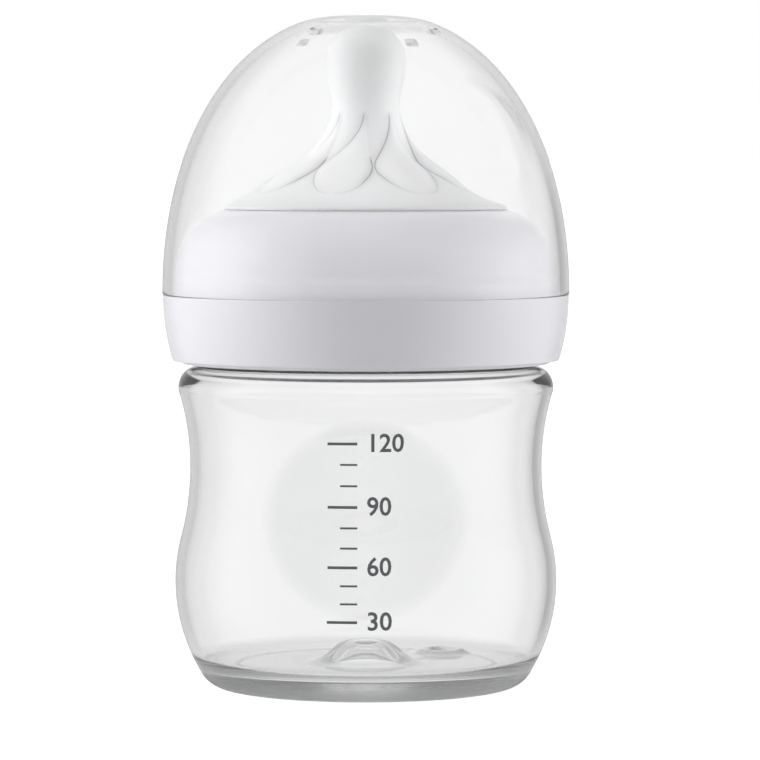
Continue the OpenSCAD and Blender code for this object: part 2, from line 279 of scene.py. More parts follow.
place = s.node("ShaderNodeSeparateXYZ")
link(from_outline("FLOAT_VECTOR", s.node("GeometryNodeInputPosition").outputs[0]), place.inputs[0])
angle = s.mul(s.div(column, start.outputs["Segments"]), 2 * pi)
spot = s.node("ShaderNodeCombineXYZ")
link(s.mul(place.outputs["X"], s.do("SINE", angle)), spot.inputs["X"])
link(s.mul(place.outputs["X"], s.do("COSINE", angle)), spot.inputs["Y"])
link(place.outputs["Z"], spot.inputs["Z"])
wrap = s.node("GeometryNodeSetPosition")
link(grid.outputs["Mesh"], wrap.inputs["Geometry"])
link(spot.outputs[0], wrap.inputs["Position"])
shape = wrap.outputs[0]
for key in ("zone", "inside"):
    keep = s.node("GeometryNodeStoreNamedAttribute", data_type="FLOAT", domain="POINT")
    keep.inputs["Name"].default_value = key
    link(shape, keep.inputs["Geometry"])
    link(from_outline("FLOAT", s.attribute(key)), keep.inputs["Value"])
    shape = keep.outputs[0]
weld = s.node("GeometryNodeMergeByDistance")
weld.inputs["Distance"].default_value = 2e-6
smooth = s.node("GeometryNodeSetShadeSmooth")
link(shape, weld.inputs["Geometry"])
link(weld.outputs[0], smooth.inputs["Geometry"])
s.close(smooth.outputs[0], start.outputs["Finish"], end)
print("lathe tree:", len(lathe.nodes), "nodes")

# %% [markdown]
# ## The thread
# The neck and the ring carry a right-hand thread with two starts. It could be a swept strip, but
# a strip has to be welded to a clear wall without a seam. As a rule it is simpler: each point of
# the neck asks how far it is from the nearest turn, and moves out by the thread's height there.
# The values in the tree are the neck's. The ring gives its own where they differ.

# %% Build the thread relief
thread, start, end = new_tree("Thread", [
    ("Pitch", "Float", 4.0), ("Starts", "Float", 2.0), ("Reference", "Float", 59.7),
    ("Low", "Float", 59.7), ("High", "Float", 67.0), ("Height", "Float", 1.5),
    ("Root width", "Float", 2.2), ("Crest width", "Float", 1.2), ("Run out", "Float", 0.5),
    ("Finish", "Material", None)])
s = Sums(thread)
link = thread.links.new
here = s.node("ShaderNodeSeparateXYZ")
link(s.node("GeometryNodeInputPosition").outputs[0], here.inputs[0])
z = s.mul(here.outputs["Z"], 1000)
given = start.outputs
turn = s.div(s.do("ARCTAN2", here.outputs["Y"], here.outputs["X"]), 2 * pi)
phase = s.sub(s.div(s.sub(z, given["Reference"]), given["Pitch"]), s.mul(turn, given["Starts"]))
off = s.mul(s.sub(phase, s.do("ROUND", phase)), given["Pitch"])
middle = s.sub(z, off)
flank = s.mul(s.sub(given["Root width"], given["Crest width"]), 0.5)
lift = s.unit(s.div(s.sub(s.mul(given["Root width"], 0.5), s.do("ABSOLUTE", off)), flank))
fade = s.mul(s.unit(s.div(s.sub(middle, given["Low"]), given["Run out"])),
             s.unit(s.div(s.sub(given["High"], middle), given["Run out"])))
height = s.mul(s.mul(s.mul(lift, fade), s.mul(given["Height"], MM)),
               s.do("COMPARE", s.attribute("zone"), 1.0, 0.2))
flat = s.node("ShaderNodeCombineXYZ")
link(here.outputs["X"], flat.inputs["X"])
link(here.outputs["Y"], flat.inputs["Y"])
out = s.node("ShaderNodeVectorMath", operation="NORMALIZE")
link(flat.outputs[0], out.inputs[0])
s.close(s.moved(given["Geometry"], out.outputs[0], height), given["Finish"], end)
print("thread tree:", len(thread.nodes), "nodes")

# %% [markdown]
# ## The petals
# The cone of the nipple is pressed into eight teardrop petals with thin stems that lean round the
# neck, so that it bends without folding. They could be sculpted one by one. Here one petal is
# drawn by two curves, its left and its right edge, as angles against height, and the angle round
# the axis is taken modulo the pitch of the petals, which repeats it. Between its edges a petal
# swells like a pillow, which leaves a crisp crease where two slopes meet. A point of an edge is
# the share of the height, 0 at the foot and 1 at the top, and an angle in degrees.

# %% The field of the petals
petal_count, petal_foot, petal_top, petal_start = 8, 86.5, 102.5, 39.2
petal_foot_length, petal_top_length = 35.0, 16.0
curve_low, curve_span, curve_step = 50, 60, 0.015
left_edge = [(0, -16), (0.04, -17), (0.08, -23), (0.15, -29), (0.24, -34.5), (0.31, -37.5),
             (0.38, -37), (0.45, -33), (0.55, -25), (0.68, -14.5), (0.8, -6.5), (0.92, -3), (1, -2)]
right_edge = [(0, -16), (0.04, -15), (0.08, -8.5), (0.13, -4), (0.22, 1), (0.3, 4.4),
              (0.36, 5.4), (0.42, 4.6), (0.55, 2.5), (0.7, 2), (0.85, 1.5), (1, -1)]


def petal_field(s, position):
    """Height share, and the distances in mm in from the left and the right edge of a petal."""
    here = s.node("ShaderNodeSeparateXYZ")
    s.put(position, here.inputs[0])
    x, y, z = here.outputs["X"], here.outputs["Y"], s.mul(here.outputs["Z"], 1000)
    up = s.unit(s.div(s.sub(z, petal_foot), petal_top - petal_foot))
    side = s.mul(s.do("ARCTAN2", x, s.mul(y, -1)), 180 / pi)
    across = s.do("FLOORED_MODULO", s.add(side, petal_start + 360), 360 / petal_count)
    across = s.sub(across, petal_start)
    radius = s.mul(s.do("SQRT", s.add(s.mul(x, x), s.mul(y, y))), 1000 * pi / 180)
    length = s.sub(petal_foot_length, s.mul(up, petal_foot_length - petal_top_length))

    def edge(points, at):
        node = s.node("ShaderNodeFloatCurve")
        curve = node.mapping.curves[0]
        points = [(u, (d + curve_low) / curve_span) for u, d in points]
        curve.points[0].location, curve.points[-1].location = points[0], points[-1]
        for point in points[1:-1]:
            curve.points.new(*point)
        node.mapping.update()
        s.put(at, node.inputs["Value"])
        return s.sub(s.mul(node.outputs[0], curve_span), curve_low)

    def inward(points, way):
        """Distance in from an edge, taken square to it and not straight across."""
        slope = s.sub(edge(points, s.add(up, curve_step)), edge(points, s.sub(up, curve_step)))
        slope = s.div(s.mul(s.div(slope, 2 * curve_step), radius), length)
        gap = s.mul(s.mul(s.sub(across, edge(points, up)), radius), way)
        return s.div(gap, s.do("SQRT", s.add(s.mul(slope, slope), 1)))

    return up, inward(left_edge, 1), inward(right_edge, -1)


def crease(s, up, one, two, width):
    """Painted crease shade: 1 along a petal's edges, 0 away from them. The right edge shows low down
    only.
    """
    def line(distance):
        share = s.div(distance, width)
        return s.do("EXPONENT", s.mul(s.mul(share, share), -1))
    top_fade = s.climb(0.96, up, 14)
    foot_fade = s.add(0.25, s.mul(s.climb(up, 0.06, 6), 0.6))
    start = s.climb(up, 0.045, 60)
    low = s.add(0.35, s.mul(s.climb(up, 0.1, 9), 0.8))
    low = s.mul(s.climb(0.47, up, 14), low)
    left, right = s.mul(s.mul(line(one), top_fade), foot_fade), s.mul(line(two), low)
    return s.mul(start, s.do("MAXIMUM", left, right))

# %% Build the petal relief
petals, start, end = new_tree("Petals", [
    ("Rise", "Float", 0.7), ("Slope", "Float", 0.9), ("Finish", "Material", None)])
s = Sums(petals)
given = start.outputs
up, one, two = petal_field(s, s.node("GeometryNodeInputPosition").outputs[0])
one, two = s.do("MAXIMUM", one, 0.0), s.do("MAXIMUM", two, 0.0)
near = s.div(s.mul(one, two), s.add(s.add(one, two), 0.001))
pillow = s.sub(1.0, s.do("EXPONENT", s.mul(s.div(near, given["Slope"]), -1)))
ends = s.mul(s.climb(up, 0.04, 6), s.climb(0.95, up, 5))
relief = s.mul(s.mul(s.mul(pillow, given["Rise"]), MM), ends)
height = s.mul(relief, s.do("COMPARE", s.attribute("zone"), 2.0, 0.2))
normal = s.node("GeometryNodeInputNormal")
s.close(s.moved(given["Geometry"], normal.outputs[0], height), given["Finish"], end)
print("petal tree:", len(petals.nodes), "nodes")

# %% [markdown]
# ## One shared surface effect
# No moulding is quite even: the wall is a little wavy, and handling leaves it a touch duller in
# places. Both come from soft noise on Object coordinates, and all four mouldings need them, so
# they live in one shader group that puts out two values.

# %% Build the moulded surface group
moulded = bpy.data.node_groups.new("Moulded surface", "ShaderNodeTree")
for name, value in (("Wave size", 60.0), ("Grain size", 900.0),
                    ("Rough low", 0.05), ("Rough high", 0.1)):
    socket = moulded.interface.new_socket(name, in_out="INPUT", socket_type="NodeSocketFloat")
    socket.default_value = value
for name in ("Height", "Roughness"):
    moulded.interface.new_socket(name, in_out="OUTPUT", socket_type="NodeSocketFloat")
s = Sums(moulded)
link = moulded.links.new
ins, outs = s.node("NodeGroupInput"), s.node("NodeGroupOutput")
where = s.node("ShaderNodeTexCoord").outputs["Object"]
wave, grain = s.node("ShaderNodeTexNoise"), s.node("ShaderNodeTexNoise")
for texture, name, detail in ((wave, "Wave size", 1.0), (grain, "Grain size", 2.0)):
    link(where, texture.inputs["Vector"])
    link(ins.outputs[name], texture.inputs["Scale"])
    texture.inputs["Detail"].default_value = detail
link(s.add(s.mul(wave.outputs["Fac"], 0.85), s.mul(grain.outputs["Fac"], 0.15)), outs.inputs["Height"])
spread = s.sub(ins.outputs["Rough high"], ins.outputs["Rough low"])
link(s.add(ins.outputs["Rough low"], s.mul(wave.outputs["Fac"], spread)), outs.inputs["Roughness"])


def finish(name, wave, grain, low, high, bump):
    """A new material with the moulded surface on its roughness and normal."""
    mat = bpy.data.materials.new(name)
    mat.use_nodes = True
    nodes, links = mat.node_tree.nodes, mat.node_tree.links
    shader = nodes["Principled BSDF"]
    group = nodes.new("ShaderNodeGroup")
    group.node_tree = moulded
    dial(group, Wave_size=wave, Grain_size=grain, Rough_low=low, Rough_high=high)
    relief = nodes.new("ShaderNodeBump")
    dial(relief, Strength=1.0, Distance=bump * MM)
    links.new(group.outputs["Height"], relief.inputs["Height"])
    links.new(relief.outputs["Normal"], shader.inputs["Normal"])
    links.new(group.outputs["Roughness"], shader.inputs["Roughness"])
    return mat, shader

# %% [markdown]
# ## Clear plastic
# The body and the cap are clear: light goes through, bends at both faces and loses a little on
# its way through the wall, so edges and the thick foot look grey while the middle stays bright.
# Plain alpha would give an even veil instead. A Principled shader with full transmission and a
# Volume Absorption does it as the real wall does. Lamp rays pass straight through, so that what
# is inside gets its light without thousands of samples. The foot stands in a part of the mould
# that is not polished: a mask called grain makes it matt.

# %% Make the clear finishes
clear_rough, grain_rough, plastic_ior = (0.01, 0.03), 0.45, 1.49


def clear(name, loss, bump):
    mat, shader = finish(name, 45.0, 700.0, *clear_rough, bump)
    nodes, end = mat.node_tree.nodes, mat.node_tree.nodes["Material Output"]
    dial(shader, Base_Color=(1, 1, 1, 1), Transmission_Weight=1.0, IOR=plastic_ior)
    s = Sums(mat.node_tree)
    grain = s.node("ShaderNodeAttribute", attribute_name="grain").outputs["Fac"]
    rough = s.add(s.mul(grain, grain_rough), nodes["Group"].outputs["Roughness"])
    s.put(rough, shader.inputs["Roughness"])
    see = s.node("ShaderNodeBsdfTransparent")
    dial(see, Color=(1, 1, 1, 1))
    shadow = s.node("ShaderNodeLightPath").outputs["Is Shadow Ray"]
    s.either(shadow, shader.outputs[0], see.outputs[0], end.inputs["Surface"])
    inside = s.node("ShaderNodeVolumeAbsorption")
    dial(inside, Color=(0.5, 0.52, 0.53, 1), Density=loss)
    s.put(inside.outputs[0], end.inputs["Volume"])
    return mat


body_clear = clear("bottle_clear", 14.0, 0.012)
s = Sums(body_clear.node_tree)
# Painted shade: the recess mask makes the colour of the disc greyer.
recess_shade = s.node("ShaderNodeAttribute", attribute_name="recess").outputs["Fac"]
shaded_tone = s.blend(recess_shade, (0.98, 0.981, 0.981), (0.885, 0.888, 0.888))
s.put(shaded_tone, body_clear.node_tree.nodes["Principled BSDF"].inputs["Base Color"])
cap_clear = clear("cap_clear", 8.0, 0.006)
print("clear finishes:", body_clear.name, cap_clear.name)

# %% [markdown]
# ## White ring and soft silicone
# The ring is a solid glossy white with a trace of blue. Silicone is milky: light spreads inside
# it, so shadows on it are soft, and its surface is satin and not glossy. The shade in its creases
# is painted: a thin dark line and a wide faint one of painted shade follow the edges of the petals.

# %% Make the ring and nipple finishes
ring_white, shader = finish("ring_white", 40.0, 1200.0, 0.16, 0.26, 0.01)
dial(shader, Base_Color=(0.8, 0.797, 0.838, 1), IOR=1.46, Coat_Weight=0.3, Coat_Roughness=0.08)

silicone, shader = finish("nipple_silicone", 70.0, 1500.0, 0.26, 0.38, 0.008)
dial(shader, Subsurface_Weight=1.0, Subsurface_Radius=(1.0, 0.9, 0.85), Subsurface_Scale=2.2 * MM,
     IOR=1.41, Transmission_Weight=0.04)
s = Sums(silicone.node_tree)
up, one, two = petal_field(s, s.node("ShaderNodeTexCoord").outputs["Object"])
crease_width, shade_width, shade = 0.15, 1.1, 0.26
# Painted shade: the thin and the wide crease lines darken the base colour along the petal edges.
line = s.do("MAXIMUM", crease(s, up, one, two, crease_width),
            s.mul(crease(s, up, one, two, shade_width), shade))
s.put(s.blend(line, (0.93, 0.93, 0.935), (0.4, 0.41, 0.42)), shader.inputs["Base Color"])

# %% [markdown]
# ## Spinning an outline
# One helper turns an outline into a finished piece. It marks the rows that carry a relief and the
# rows after the turn from the outer to the inner face, runs the lathe and the relief, and prints
# the size of what came out. The turn is the row that scores highest with the function given.

# %% Helper for spun pieces
def add_mark(mesh, key, values):
    mesh.attributes.new(key, "FLOAT", "POINT").data.foreach_set("value", values)


def spun(name, outline, mat, segments, relief=None, zone=None, step=0.6, turn_score=None):
    """A closed piece from an outline in millimetres. zone(r, z, inside) gives a row's mark."""
    points = filled(eased(outline), step)
    scores = [turn_score(r, z) if turn_score else 0 for r, z in points]
    turn = scores.index(max(scores))
    inside = [float(i > turn) for i in range(len(points))]
    marks = [float(zone(r, z, i)) if zone else 0.0 for (r, z), i in zip(points, inside)]
    mesh = bpy.data.meshes.new(name + "_outline")
    edges = [(i, i + 1) for i in range(len(points) - 1)]
    mesh.from_pydata([(r * MM, 0, z * MM) for r, z in points], edges, [])
    for key, values in (("zone", marks), ("inside", inside)):
        add_mark(mesh, key, values)
    steps = [(lathe, {"Segments": segments, "Finish": mat})]
    if relief:
        steps.append((relief[0], {**relief[1], "Finish": mat}))
    done = grown(name, mesh, steps)
    piece = placed(name, done)
    tall = round(piece.dimensions.z / MM, 2)
    print(name, "rows", len(points), "faces", len(done.polygons), "height", tall)
    return piece


def grid_points(piece):
    data = np.empty(len(piece.data.vertices) * 3)
    piece.data.vertices.foreach_get("co", data)
    return data.reshape(-1, 3) / MM


def set_points(piece, points):
    piece.data.vertices.foreach_set("co", (points * MM).ravel())
    piece.data.update()


def mark(piece, key):
    data = np.empty(len(piece.data.vertices))
    piece.data.attributes[key].data.foreach_get("value", data)
    return data


def ramp(a, b, x):
    t = np.clip((x - a) / (b - a), 0, 1)
    return t * t * (3 - 2 * t)

# %% [markdown]
# ## The bottle
# The body is one blow-moulded wall with a belly, a waist and a shoulder, a thick raised floor
# with a hump in its middle, and a wide neck. Inner and outer wall are one closed outline. Inside
# the shoulder the wall runs up straight and then slants in to the neck. That lets light out
# there: a corner of even wall would carry it round like a fibre and look black.

# %% Sizes of the bottle
neck_r, neck_wall, wall = 29.6, 2.0, 1.6
shoulder_r = neck_r + 3.6
waist_r = shoulder_r - 2.05
belly_r = waist_r + 2.65
belly_curve, belly_z, waist_z, shoulder_top, shoulder_round = 31.0, 18.8, 39.2, 56.1, 3.0
shoulder_z, rim_z = shoulder_top - shoulder_round, shoulder_top + 12.9
belly_c, shoulder_c = belly_r - belly_curve, shoulder_r - shoulder_round
foot_round, foot_lift, floor_z, floor_round = 5.1, 1.2, 4.2, 4.0
hump_r, hump_top_r, hump_z, hump_wall = 8.7, 4.15, 8.2, 2.0
foot_c = belly_c + sqrt((belly_curve - foot_round) ** 2 - (belly_z - foot_round) ** 2)
foot_a = -degrees(atan2(belly_z - foot_round, foot_c - belly_c))
low_curve = hollow(waist_r, belly_c, belly_curve, waist_z - belly_z)
low_a = degrees(atan2(waist_z - belly_z, waist_r + low_curve - belly_c))
top_curve = hollow(waist_r, shoulder_c, shoulder_round, shoulder_z - waist_z)
top_a = degrees(atan2(shoulder_z - waist_z, waist_r + top_curve - shoulder_c))
floor_h = belly_z - floor_z - floor_round
floor_c = belly_c + sqrt((belly_curve - wall - floor_round) ** 2 - floor_h ** 2)
floor_a = -degrees(atan2(floor_h, floor_c - belly_c))


def flank_of(inset, start, n):
    """Belly, waist and shoulder of the body, set in by the wall or not."""
    return (arc(belly_c, belly_z, belly_curve - inset, start, low_a, n)
            + arc(waist_r + low_curve, waist_z, low_curve + inset, 180 + low_a, 180, 16)[1:]
            + arc(waist_r + top_curve, waist_z, top_curve + inset, 180, 180 - top_a, 12)[1:]
            + arc(shoulder_c, shoulder_z, shoulder_round - inset, -top_a, 0, 4)[1:])


shoulder_crown = shoulder_round + 0.6
shoulder_arc = [(shoulder_c + shoulder_round * cos(a), shoulder_z + shoulder_crown * sin(a))
                for a in np.linspace(0, pi / 2, 13)[1:]]
crown_top = shoulder_z + shoulder_crown

# %% Spin the bottle
hollow_z = hump_z - hump_wall
outside = ([(0, hollow_z), (2.35, hollow_z, 1.4), (hump_r - hump_wall, foot_lift, 1.2)]
           + [(foot_c - 2.2, foot_lift, 0.5)]
           + arc(foot_c - 1, foot_lift, foot_lift, 190, 270, 5)
           + arc(foot_c, foot_round, foot_round, -90, foot_a, 14)
           + flank_of(0, foot_a, 28)[1:] + shoulder_arc
           + [(neck_r + 0.6, crown_top)] + arc(neck_r + 0.6, crown_top + 0.4, 0.4, 260, 180, 4)
           + [(neck_r, rim_z, 0.5)])
upright = [q for q in flank_of(wall, floor_a, 28)[::-1] if q[1] < shoulder_z - 0.1]
within = ([(neck_r - neck_wall, rim_z, 0.5), (neck_r - neck_wall, shoulder_top + 1.9, 1.0)]
          + [(shoulder_r - wall, shoulder_top - 1.0, 0.5)] + upright
          + arc(floor_c, floor_z + floor_round, floor_round, floor_a, -90, 12)[1:]
          + [(hump_r, floor_z, 2.2), (hump_top_r, hump_z, 2.2), (0, hump_z)])
bottle = spun("bottle_body", outside + within, body_clear, 200, (thread, {}),
              zone=lambda r, z, i: 1 if abs(r - neck_r) < 0.01 and 57.5 < z < 68.4 else 0, step=0.55,
              turn_score=lambda r, z: z if abs(r - neck_r) < 0.6 else -1)

# %% [markdown]
# ### The round recess on the front
# A shallow disc with soft edges is pressed into the front, where a bottle carries its print. The
# whole wall steps in; the inner face follows softly, as it does when air alone shapes it. A mask
# of the disc is kept on the mesh, and the finish uses it to paint the disc a little greyer, as
# painted shade.

# %% Press the recess
recess_z, recess_depth, recess_floor_r, recess_r = belly_z + 13, 0.6, 14.0, 17.4


def recess_share(x, y, z):
    """1 on the floor of the recess, 0 outside it."""
    return (1 - ramp(recess_floor_r, recess_r, np.hypot(x, z - recess_z))) * (y < 0)


points = grid_points(bottle)
share = recess_share(*points.T)
radial = points[:, :2] / np.maximum(np.linalg.norm(points[:, :2], axis=1, keepdims=True), 1e-9)
inner_loss = 0.4 * mark(bottle, "inside")
points[:, :2] -= radial * (recess_depth * share * (1 - inner_loss))[:, None]
# A softened copy of the share is kept as recess, the mask of the painted shade on the disc.
add_mark(bottle.data, "recess", share ** 0.4)
print("recess points:", int((share > 0).sum()))

# %% [markdown]
# ### The gate mark in the floor
# A small round mark stands on the floor behind the hump, where the mould ejects the bottle. It
# is a low ring with a dished middle, raised on the inner face alone. The same cell marks the
# matt grain of the foot, on the outer face alone.

# %% Raise the gate mark
mark_x, mark_y, mark_r, mark_h, mark_width = 13.8, 12.6, 3.4, 0.9, 1.1
spread = np.hypot(points[:, 0] - mark_x, points[:, 1] - mark_y)
on_floor = (mark(bottle, "inside") > 0.5) & (points[:, 2] < floor_z + 1)
points[:, 2] += on_floor * mark_h * np.exp(-((spread - mark_r) / mark_width) ** 2)
grain = (1 - ramp(1.4, 4.5, points[:, 2])) * (mark(bottle, "inside") < 0.5)
add_mark(bottle.data, "grain", grain)
set_points(bottle, points)
print("gate mark points:", int((on_floor & (spread < mark_r + 1)).sum()))

# %% [markdown]
# ## The screw ring
# A tapered band with a ledge for the cap, a spigot inside the cap, and a domed shoulder that
# ends in the mouth. Under the dome a rib presses the nipple on the rim of the neck.

# %% Spin the screw ring
bore_r, band_h = neck_r + 1.5 + 0.5, 11.6
ring_r, ring_low_r, ring_z = bore_r + 4.3, bore_r + 2.6, shoulder_top + 1.8
ledge_z, seat_z = ring_z + band_h, rim_z + 2.0
band_curve = ((ring_r - ring_low_r) ** 2 + band_h ** 2) / (2 * (ring_r - ring_low_r))
cap_r = ring_r + 0.1
spigot_r = cap_r - 1.6 - 0.3
dome_round, dome_wall, dome_z, mouth_r = 11.2, 1.7, ledge_z + 4, 24.6
dome_c = spigot_r - 0.4 - dome_round
lip_out = degrees(acos((mouth_r + 0.5 - dome_c) / dome_round))
lip_in = degrees(acos((mouth_r + 0.4 - dome_c) / (dome_round - dome_wall)))
mouth_top = dome_z + sqrt(dome_round ** 2 - (mouth_r - dome_c) ** 2)
mouth_low = dome_z + sqrt((dome_round - dome_wall) ** 2 - (mouth_r - dome_c) ** 2)
rib_r = neck_r - 1.2
band_a = -degrees(asin((band_h - 1) / band_curve))
ring_outline = ([(bore_r, ring_z + 3), (bore_r, ring_z - 0.5, 0.3), (bore_r + 1.0, ring_z - 0.5, 0.3),
                 (bore_r + 1.15, ring_z + 0.5, 0.2), (ring_low_r - 0.8, ring_z + 0.5, 0.2),
                 (ring_low_r - 0.7, ring_z, 0.2),
                 (ring_low_r + 0.02, ring_z, 0.55)]
                + arc(ring_r - band_curve, ledge_z, band_curve, band_a, -0.5, 14)
                + [(ring_r, ledge_z, 0.3), (spigot_r, ledge_z, 0.15), (spigot_r, ledge_z + 2.6, 0.2)]
                + arc(dome_c, dome_z, dome_round, 0, lip_out, 22)
                + [(mouth_r, mouth_top, 0.1), (mouth_r, mouth_low, 0.4)]
                + arc(dome_c, dome_z, dome_round - dome_wall, lip_in, 16, 14)
                + [(rib_r, seat_z + 1.4, 0.3), (rib_r, seat_z, 0.2), (bore_r, seat_z, 0.3)]
                + [(bore_r, ring_z + 3)])
ring_values = {"Reference": 61.7, "Height": -1.5}
ring = spun("screw_ring_body", ring_outline, ring_white, 256, (thread, ring_values),
            zone=lambda r, z, i: 1 if abs(r - bore_r) < 0.01 and 58.2 < z < 68.6 else 0, step=0.5)

# %% [markdown]
# ## The nipple
# A flange on the rim, a skirt inside the ring, a groove at the mouth, and then the part that
# shows: a wide cone that runs up in one curve into the neck and the bulb.

# %% Sizes and outline of the nipple
skirt_r, groove_r, groove_z, skirt_z = rib_r - 0.35, mouth_r - 0.35, mouth_low - 0.35, seat_z + 4
skirt_curve = ((skirt_r - groove_r) ** 2 + (groove_z - skirt_z) ** 2) / (2 * (skirt_r - groove_r))
skirt_c = skirt_r - skirt_curve
bead_r, bead_z = mouth_r + 0.45, mouth_top + 0.55
teat_r, teat_z, teat_wall = 6.0, mouth_top + 18.5, 1.5
flare, skirt_wall, nape_h, tip_round, flange_r = 12.5, 1.8, 7.9, 6.2, 31.0
flare_c = teat_r + flare
gap = hypot(bead_r - flare_c, bead_z - teat_z)
cone_a = (360 + degrees(atan2(bead_z - teat_z, bead_r - flare_c))
          - degrees(acos(flare / gap)))
bulb_r, bulb_z, bulb_curve = teat_r + 1.1, teat_z + nape_h, 20.0
bulb_c = bulb_r - bulb_curve
nape = hollow(teat_r, bulb_c, bulb_curve, nape_h)
nape_a = degrees(atan2(nape_h, teat_r + nape - bulb_c))
tip_z, feed_r = bulb_z + tip_round, 0.35
throat_r = groove_r - skirt_wall - 0.35
throat_a = degrees(acos((throat_r - skirt_c) / (skirt_curve - skirt_wall)))
inner = arc(flare_c, teat_z, flare + teat_wall, cone_a, cone_a, 0)[0]
throat_z = inner[1] - (throat_r - inner[0]) / tan(radians(cone_a - 180))
skirt_a = degrees(asin((groove_z - skirt_z) / skirt_curve))
nipple_outline = (
    [(skirt_r - skirt_wall, rim_z + 1), (skirt_r - skirt_wall, rim_z, 0.3), (flange_r, rim_z, 0.4)]
    + [(flange_r, seat_z, 0.4), (skirt_r, seat_z, 0.3)]
    + arc(skirt_c, skirt_z, skirt_curve, 0, skirt_a, 14)
    + [(groove_r, mouth_top + 0.04, 0.05), (bead_r, mouth_top + 0.04, 0.15), (bead_r, bead_z, 0.25)]
    + arc(flare_c, teat_z, flare, cone_a, 180, 40)
    + arc(teat_r + nape, teat_z, nape, 180, 180 - nape_a, 8)[1:]
    + arc(bulb_c, bulb_z, bulb_curve, -nape_a, 0, 12)[1:]
    + arc(bulb_r - tip_round, bulb_z, tip_round, 0, 90, 20)[1:]
    + [(feed_r, tip_z, 0.15), (feed_r, tip_z - teat_wall, 0.15)]
    + arc(bulb_r - tip_round, bulb_z, tip_round - teat_wall, 90, 0, 12)
    + arc(bulb_c, bulb_z, bulb_curve - teat_wall, 0, -nape_a, 8)[1:]
    + arc(teat_r + nape, teat_z, nape + teat_wall, 180 - nape_a, 180, 6)[1:]
    + arc(flare_c, teat_z, flare + teat_wall, 180, cone_a, 16)[1:] + [(throat_r, throat_z, 0.6)]
    + arc(skirt_c, skirt_z, skirt_curve - skirt_wall, throat_a, 0, 10)
    + [(skirt_r - skirt_wall, rim_z + 1)])


def cone_inner(z):
    """A radius that lies between the two faces of the cone at height z."""
    rest = max(flare ** 2 - min(z - teat_z, 0) ** 2, 0)
    on_arc = z > teat_z + flare * sin(radians(cone_a))
    straight = bead_r - (z - bead_z) * tan(radians(cone_a - 180))
    return (flare_c - sqrt(rest) if on_arc else straight) - 0.7


print("tip of the nipple at", round(tip_z, 2), "flare angle", round(cone_a - 180, 1))

# %% Spin the nipple
nipple = spun("nipple_soft", nipple_outline, silicone, 352, (petals, {}),
              zone=lambda r, z, i: 2 if 86.2 < z < 103 and not i and r < 24.6 else 0,
              step=lambda r, z: 0.24 if 86 < z < 103 and r > cone_inner(z) else 1.5,
              turn_score=lambda r, z: z)

# %% [markdown]
# ## The dome cap
# A clear dome, thickest at the rim that fits over the spigot. Its curve is a superellipse,
# fuller than a circle at the shoulder, and it ends in a crown that is almost flat. Both are
# formulas, so the outline is written as one and not drawn.

# %% Spin the cap
crown_r, cap_top, crown_h = 11.9, tip_z + 0.5 + 1.1, 1.3
crown_z, cap_wall, lip_t = cap_top - crown_h, 1.2, 1.6
dome_p, dome_q, crown_power = 2.09, 2.24, 3.3


def dome(a, z0, r1, z1, n=76, turns=None):
    """The dome from radius a at z0 to radius r1 at z1, or its points at the given turns."""
    t1 = acos((r1 / a) ** (dome_q / 2))
    k = (z1 - z0) / sin(t1) ** (2 / dome_p)
    turns = np.linspace(0, t1, n + 1) if turns is None else turns
    return [(a * cos(t) ** (2 / dome_q), z0 + k * sin(t) ** (2 / dome_p)) for t in turns]


def crown(r, z0, z1, n=24):
    """The crown from radius r at z0 to the axis at z1."""
    return [(r * u, z1 - (z1 - z0) * u ** crown_power) for u in np.linspace(1, 0, n + 1)[1:]]


cap_outline = ([(cap_r - 0.8, ledge_z + 0.02), (cap_r, ledge_z + 0.02, 0.25)]
               + dome(cap_r, ledge_z, crown_r, crown_z)[2:] + crown(crown_r, crown_z, cap_top)
               + (dome(cap_r - lip_t, ledge_z, crown_r - cap_wall, crown_z - cap_wall)[2:]
                  + crown(crown_r - cap_wall, crown_z - cap_wall, cap_top - 1.1))[::-1]
               + [(cap_r - lip_t, ledge_z + 0.02, 0.25), (cap_r - 0.8, ledge_z + 0.02)])
cap = spun("dome_cap_clear", cap_outline, cap_clear, 360, step=1.1, turn_score=lambda r, z: z)

# %% [markdown]
# ### The thumb recess of the cap
# To pull the cap off, a thumb rests in a round flat on the right of the front. The outer face is
# pressed towards a plane inside a circle, with a soft rim. The inner face moves by as much as the
# outer face above it does: the wall keeps its thickness and does not bend the view like a lens.

# %% Press the thumb recess
thumb_share, thumb_turn, thumb_depth, thumb_soft, thumb_rim = 0.59, 43, 1.15, 0.5, (8.6, 12.6)
thumb_z = ledge_z + (crown_z - ledge_z) * thumb_share
outer = np.array(dome(cap_r, ledge_z, crown_r, crown_z, 400))
at = int(np.argmin(abs(outer[:, 1] - thumb_z)))
slope = outer[at + 3] - outer[at - 3]
lean = atan2(-slope[0], slope[1])
turn = radians(thumb_turn)
axis = np.array([sin(turn) * cos(lean), -cos(turn) * cos(lean), sin(lean)])
centre = np.array([sin(turn) * outer[at, 0], -cos(turn) * outer[at, 0], outer[at, 1]])
points = grid_points(cap)
over_it, within = points.copy(), mark(cap, "inside") > 0.5
reach = np.hypot(points[:, 0], points[:, 1])
turns = np.arccos(np.clip(reach[within] / (cap_r - lip_t), 0, 1) ** (dome_q / 2))
partner = np.array(dome(cap_r, ledge_z, crown_r, crown_z, turns=turns))
over_it[within, :2] *= (partner[:, 0] / np.maximum(reach[within], 1e-6))[:, None]
over_it[within, 2] = partner[:, 1]
away = over_it - centre
along = away @ axis
spread = np.linalg.norm(away - along[:, None] * axis, axis=1)
over = along + thumb_depth
press = (over + np.sqrt(over ** 2 + thumb_soft ** 2)) / 2
press *= (1 - ramp(*thumb_rim, spread)) * (along > -12)
set_points(cap, points - press[:, None] * axis)
print("thumb recess:", int((press > 0.01).sum()), "points, centre", centre.round(1))

